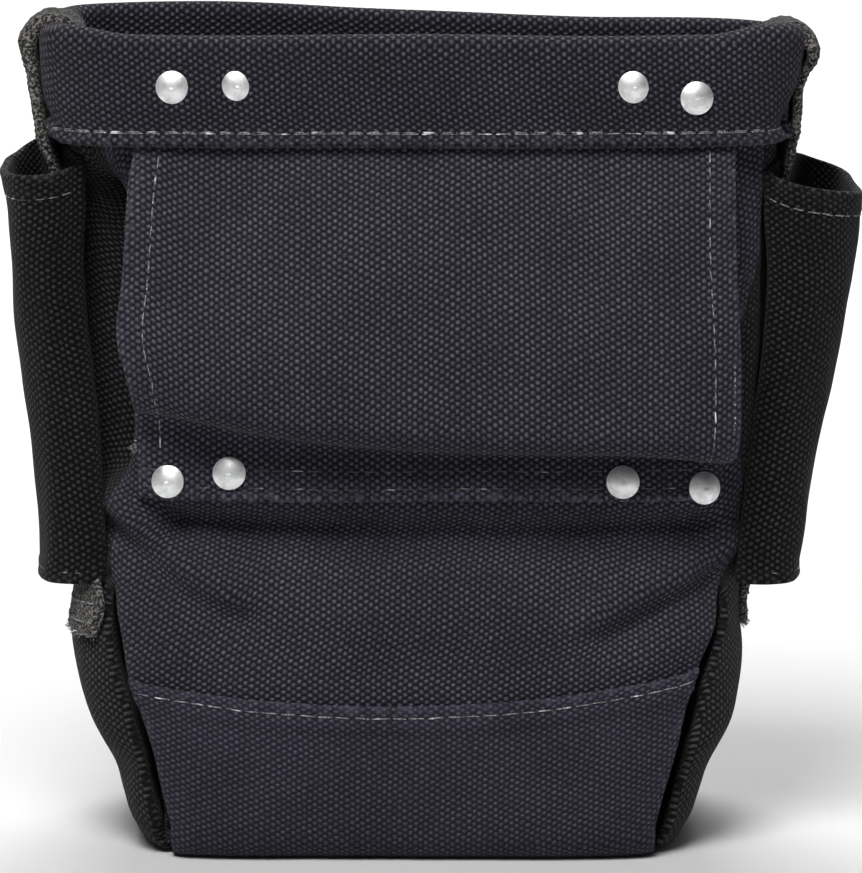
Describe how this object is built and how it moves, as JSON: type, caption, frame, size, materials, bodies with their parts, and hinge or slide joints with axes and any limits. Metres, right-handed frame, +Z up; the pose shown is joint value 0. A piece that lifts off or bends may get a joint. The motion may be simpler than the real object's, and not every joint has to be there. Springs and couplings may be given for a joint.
{
  "type": "electrician tool pouch",
  "caption": "Upright canvas belt pouch with an open top, a belt tunnel, side sleeves for pins and a boxed bottom, held by seams and rivets.",
  "frame": {"origin": "middle of the bag's bounding box, on the surface it stands on", "axes": "+Z up, +X to the right of somebody facing the belt side, -Y out of the belt side, so the outer side faces +Y"},
  "size_m": [0.2487, 0.1212, 0.2393],
  "materials": {
    "canvas": "heavy navy-black duck canvas, matt",
    "webbing": "coarse charcoal webbing, matt",
    "thread": "waxed grey thread",
    "rivet": "bright, lightly scuffed",
    "burr": "dull stamped washers"
  },
  "bodies": {
    "root": {"front_panel": "canvas", "rear_panel": "canvas", "left_gusset": "canvas", "right_gusset": "canvas", "bottom_panel": "canvas", "bottom_boot": "canvas", "front_collar": "canvas", "rear_collar": "canvas", "belt_tunnel": "canvas", "left_sleeve": "canvas", "right_sleeve": "canvas", "left_webbing": "webbing", "right_webbing": "webbing", "collar_rivets": "rivet", "tunnel_rivets": "rivet", "collar_rivet_burrs": "burr", "tunnel_rivet_burrs": "burr", "front_collar_thread": "thread", "rear_collar_thread": "thread", "tunnel_left_thread": "thread", "tunnel_right_thread": "thread", "tunnel_foot_threads": "thread", "boot_front_thread": "thread", "boot_rear_thread": "thread", "left_sleeve_threads": "thread", "right_sleeve_threads": "thread", "left_webbing_threads": "thread", "right_webbing_threads": "thread"}
  },
  "joints": []
}
